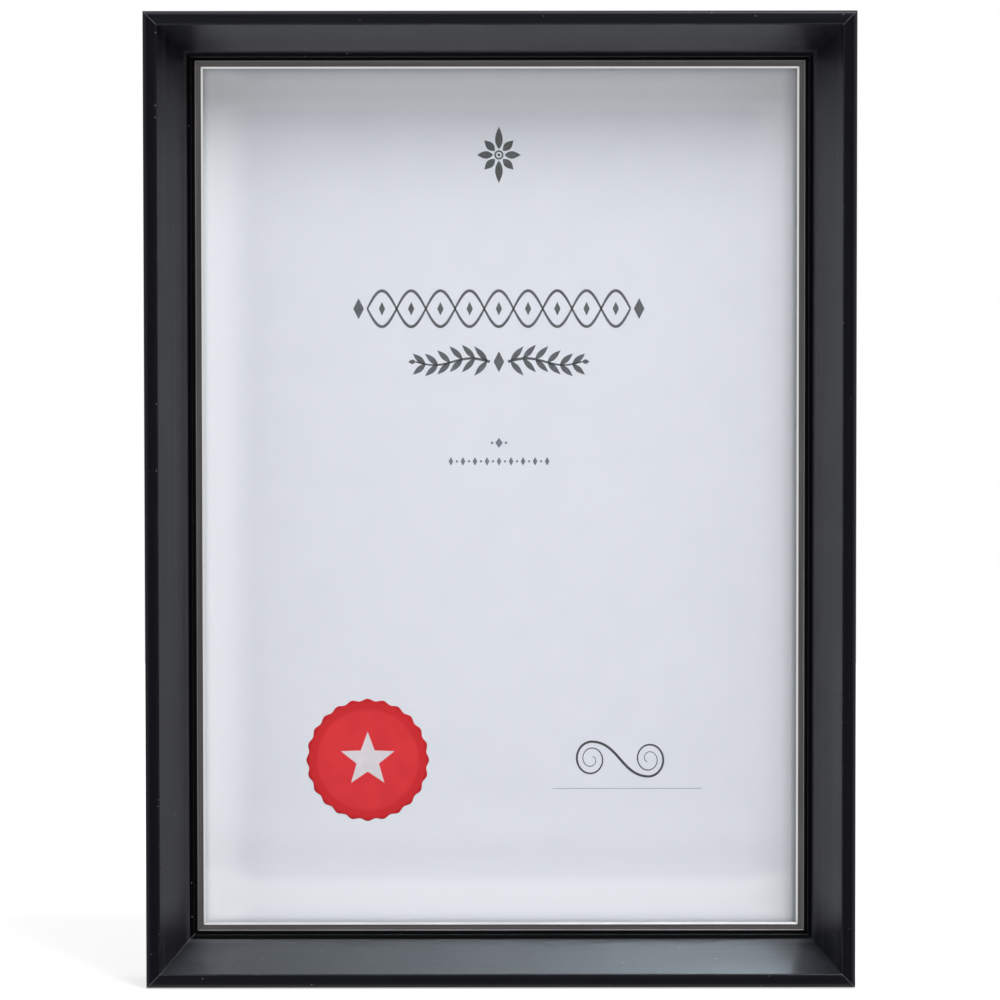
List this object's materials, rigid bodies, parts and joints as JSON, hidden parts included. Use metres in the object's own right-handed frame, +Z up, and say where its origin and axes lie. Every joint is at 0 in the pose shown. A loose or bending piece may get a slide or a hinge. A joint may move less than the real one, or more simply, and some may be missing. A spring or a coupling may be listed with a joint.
{
  "type": "certificate frame",
  "caption": "Deep dark frame with a silver slip, pane and A4 certificate, a hinged easel strut, turn buttons and toothed hangers behind.",
  "frame": {"origin": "centre of the bottom rail's resting face", "axes": "+Z up the frame the portrait way, +X to the right as seen from the front, +Y from the front to the back"},
  "size_m": [0.2326, 0.0401, 0.3196],
  "materials": {
    "dark_moulding": "black-grey satin lacquer with fine lengthwise streaks",
    "silver_slip": "silver foil, lightly brushed along its length",
    "clear_glass": "clear and polished",
    "certificate_paper": "smooth matt paper with a print",
    "back_hardboard": "smooth brown hardboard",
    "strut_board": "hardboard, painted matt black",
    "hanger_steel": "zinc plated, stamped",
    "nail_steel": "bright steel strip",
    "button_steel": "zinc plated, stamped",
    "screw_steel": "zinc plated",
    "hinge_steel": "zinc plated, folded sheet",
    "rivet_steel": "zinc plated"
  },
  "bodies": {
    "frame": {"top_rail": "dark_moulding", "bottom_rail": "dark_moulding", "left_rail": "dark_moulding", "right_rail": "dark_moulding", "top_slip": "silver_slip", "bottom_slip": "silver_slip", "left_slip": "silver_slip", "right_slip": "silver_slip", "corner_nails": "nail_steel", "pane": "clear_glass", "certificate_sheet": "certificate_paper", "back_board": "back_hardboard", "button_screws": "screw_steel", "portrait_hanger": "hanger_steel", "landscape_hanger": "hanger_steel", "hanger_nails": "hanger_steel", "hinge_fixed_leaf": "hinge_steel", "hinge_pin": "hinge_steel", "fixed_leaf_rivets": "rivet_steel"},
    "strut": {"strut_leg": "strut_board", "hinge_moving_leaf": "hinge_steel", "moving_leaf_rivets": "rivet_steel"},
    "button_top_right": {"turn_button_top_right": "button_steel"},
    "button_top_left": {"turn_button_top_left": "button_steel"},
    "button_bottom_left": {"turn_button_bottom_left": "button_steel"},
    "button_bottom_right": {"turn_button_bottom_right": "button_steel"},
    "button_left_upper": {"turn_button_left_upper": "button_steel"},
    "button_left_lower": {"turn_button_left_lower": "button_steel"},
    "button_right_lower": {"turn_button_right_lower": "button_steel"},
    "button_right_upper": {"turn_button_right_upper": "button_steel"}
  },
  "joints": [
    {"name": "strut_swing", "type": "hinge", "parent": "frame", "child": "strut", "pos_m": [0, 0.01893, 0.2], "axis": [1, 0, 0], "range_deg": [0, 30]},
    {"name": "button_top_right_turn", "type": "hinge", "parent": "frame", "child": "button_top_right", "pos_m": [0.06164, 0.01725, 0.31445], "axis": [0, 1, 0], "continuous": true},
    {"name": "button_top_left_turn", "type": "hinge", "parent": "frame", "child": "button_top_left", "pos_m": [-0.06164, 0.01725, 0.31445], "axis": [0, 1, 0], "continuous": true},
    {"name": "button_bottom_left_turn", "type": "hinge", "parent": "frame", "child": "button_bottom_left", "pos_m": [-0.06164, 0.01725, 0.00515], "axis": [0, 1, 0], "continuous": true},
    {"name": "button_bottom_right_turn", "type": "hinge", "parent": "frame", "child": "button_bottom_right", "pos_m": [0.06164, 0.01725, 0.00515], "axis": [0, 1, 0], "continuous": true},
    {"name": "button_left_upper_turn", "type": "hinge", "parent": "frame", "child": "button_left_upper", "pos_m": [-0.11115, 0.01725, 0.24449], "axis": [0, 1, 0], "continuous": true},
    {"name": "button_left_lower_turn", "type": "hinge", "parent": "frame", "child": "button_left_lower", "pos_m": [-0.11115, 0.01725, 0.07511], "axis": [0, 1, 0], "continuous": true},
    {"name": "button_right_lower_turn", "type": "hinge", "parent": "frame", "child": "button_right_lower", "pos_m": [0.11115, 0.01725, 0.07511], "axis": [0, 1, 0], "continuous": true},
    {"name": "button_right_upper_turn", "type": "hinge", "parent": "frame", "child": "button_right_upper", "pos_m": [0.11115, 0.01725, 0.24449], "axis": [0, 1, 0], "continuous": true}
  ]
}
